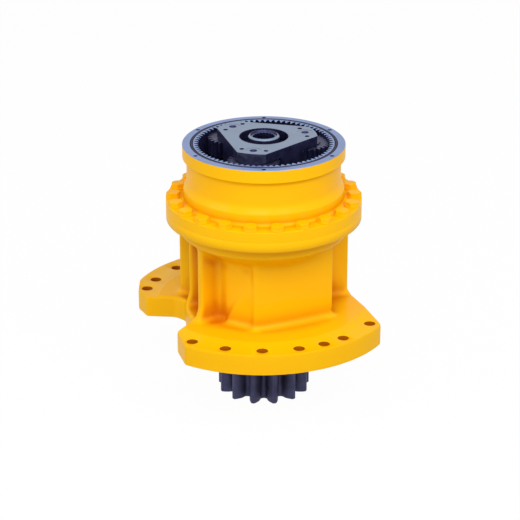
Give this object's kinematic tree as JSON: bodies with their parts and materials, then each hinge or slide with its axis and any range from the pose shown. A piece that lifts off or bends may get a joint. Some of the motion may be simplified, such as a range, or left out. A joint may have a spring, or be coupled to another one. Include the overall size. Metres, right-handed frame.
{
  "type": "excavator swing gearbox",
  "caption": "Two-stage planetary swing drive: ribbed cast housing with a two-lobed base flange, open ring gear with carrier and sun gear on top, output pinion below.",
  "frame": {"origin": "on the output axis, in the face of the base flange that rests on the machine's upper frame", "axes": "+Z along the output axis, from the pinion up to the motor's face; the front of the picture is -Y"},
  "size_m": [0.488, 0.5399, 0.5395],
  "materials": {
    "housing_paint": "semi-gloss enamel over cast iron",
    "machined": "turned and ground steel",
    "gear_steel": "hobbed and case-hardened steel",
    "dark_steel": "dark oiled steel",
    "black_rubber": "matt nitrile rubber",
    "bronze": "satin bronze"
  },
  "bodies": {
    "housing": {"main_housing": "housing_paint", "ring_gear": "housing_paint", "flange_bolts": "housing_paint", "flange_dowels": "gear_steel", "joint_o_ring": "black_rubber", "top_o_ring": "black_rubber", "seal_cover": "housing_paint", "seal_cover_bolts": "housing_paint", "cover_o_ring": "black_rubber", "shaft_seal": "black_rubber", "lower_bearing_cup": "machined", "upper_bearing_cup": "machined", "drain_plug": "dark_steel", "level_plug": "dark_steel"},
    "output": {"pinion_shaft": "dark_steel", "wear_sleeve": "gear_steel", "lower_bearing_cone": "machined", "spacer_tube": "gear_steel", "upper_bearing_cone": "machined", "lock_washer": "gear_steel", "shaft_nut": "dark_steel", "carrier_2": "gear_steel", "end_plate": "gear_steel", "end_plate_screws": "dark_steel", "stage_2_pins": "gear_steel", "stage_2_needles": "machined", "stage_2_washers": "bronze", "stage_2_spring_pins": "gear_steel"},
    "lower_roller_set": {"lower_bearing_rollers": "machined", "lower_bearing_cage": "bronze"},
    "upper_roller_set": {"upper_bearing_rollers": "machined", "upper_bearing_cage": "bronze"},
    "second_planet_a": {"planet_2_a": "gear_steel"},
    "second_planet_b": {"planet_2_b": "gear_steel"},
    "second_planet_c": {"planet_2_c": "gear_steel"},
    "second_planet_d": {"planet_2_d": "gear_steel"},
    "first_carrier": {"carrier_1": "machined", "sun_2": "gear_steel", "sun_2_ring": "dark_steel", "stage_1_pins": "gear_steel", "stage_1_needles": "machined", "stage_1_washers": "bronze", "stage_1_spring_pins": "gear_steel"},
    "first_planet_a": {"planet_1_a": "gear_steel"},
    "first_planet_b": {"planet_1_b": "gear_steel"},
    "first_planet_c": {"planet_1_c": "gear_steel"},
    "first_sun": {"sun_1": "machined", "sun_1_plug": "dark_steel"}
  },
  "joints": [
    {"name": "output_spin", "type": "hinge", "parent": "housing", "child": "output", "pos_m": [0, 0, 0.1], "axis": [0, 0, 1], "continuous": true},
    {"name": "lower_rollers_spin", "type": "hinge", "parent": "housing", "child": "lower_roller_set", "pos_m": [0, 0, 0.049], "axis": [0, 0, 1], "continuous": true},
    {"name": "upper_rollers_spin", "type": "hinge", "parent": "housing", "child": "upper_roller_set", "pos_m": [0, 0, 0.168], "axis": [0, 0, 1], "continuous": true},
    {"name": "second_planet_a_spin", "type": "hinge", "parent": "output", "child": "second_planet_a", "pos_m": [0.06703, 0.05624, 0.29], "axis": [0, 0, 1], "continuous": true},
    {"name": "second_planet_b_spin", "type": "hinge", "parent": "output", "child": "second_planet_b", "pos_m": [-0.05624, 0.06703, 0.29], "axis": [0, 0, 1], "continuous": true},
    {"name": "second_planet_c_spin", "type": "hinge", "parent": "output", "child": "second_planet_c", "pos_m": [-0.06703, -0.05624, 0.29], "axis": [0, 0, 1], "continuous": true},
    {"name": "second_planet_d_spin", "type": "hinge", "parent": "output", "child": "second_planet_d", "pos_m": [0.05624, -0.06703, 0.29], "axis": [0, 0, 1], "continuous": true},
    {"name": "first_carrier_spin", "type": "hinge", "parent": "housing", "child": "first_carrier", "pos_m": [0, 0, 0.34], "axis": [0, 0, 1], "continuous": true},
    {"name": "first_planet_a_spin", "type": "hinge", "parent": "first_carrier", "child": "first_planet_a", "pos_m": [-0.01975, -0.08164, 0.366], "axis": [0, 0, 1], "continuous": true},
    {"name": "first_planet_b_spin", "type": "hinge", "parent": "first_carrier", "child": "first_planet_b", "pos_m": [0.08058, 0.02372, 0.366], "axis": [0, 0, 1], "continuous": true},
    {"name": "first_planet_c_spin", "type": "hinge", "parent": "first_carrier", "child": "first_planet_c", "pos_m": [-0.06083, 0.05793, 0.366], "axis": [0, 0, 1], "continuous": true},
    {"name": "first_sun_spin", "type": "hinge", "parent": "housing", "child": "first_sun", "pos_m": [0, 0, 0.38], "axis": [0, 0, 1], "continuous": true}
  ],
  "couplings": [
    {"joint": "lower_rollers_spin", "follows": "output_spin", "ratio": 0.41425},
    {"joint": "upper_rollers_spin", "follows": "output_spin", "ratio": 0.41425},
    {"joint": "second_planet_a_spin", "follows": "output_spin", "ratio": -3},
    {"joint": "second_planet_b_spin", "follows": "output_spin", "ratio": -3},
    {"joint": "second_planet_c_spin", "follows": "output_spin", "ratio": -3},
    {"joint": "second_planet_d_spin", "follows": "output_spin", "ratio": -3},
    {"joint": "first_carrier_spin", "follows": "output_spin", "ratio": 4},
    {"joint": "first_planet_a_spin", "follows": "output_spin", "ratio": -11.111},
    {"joint": "first_planet_b_spin", "follows": "output_spin", "ratio": -11.111},
    {"joint": "first_planet_c_spin", "follows": "output_spin", "ratio": -11.111},
    {"joint": "first_sun_spin", "follows": "output_spin", "ratio": 18.286}
  ]
}
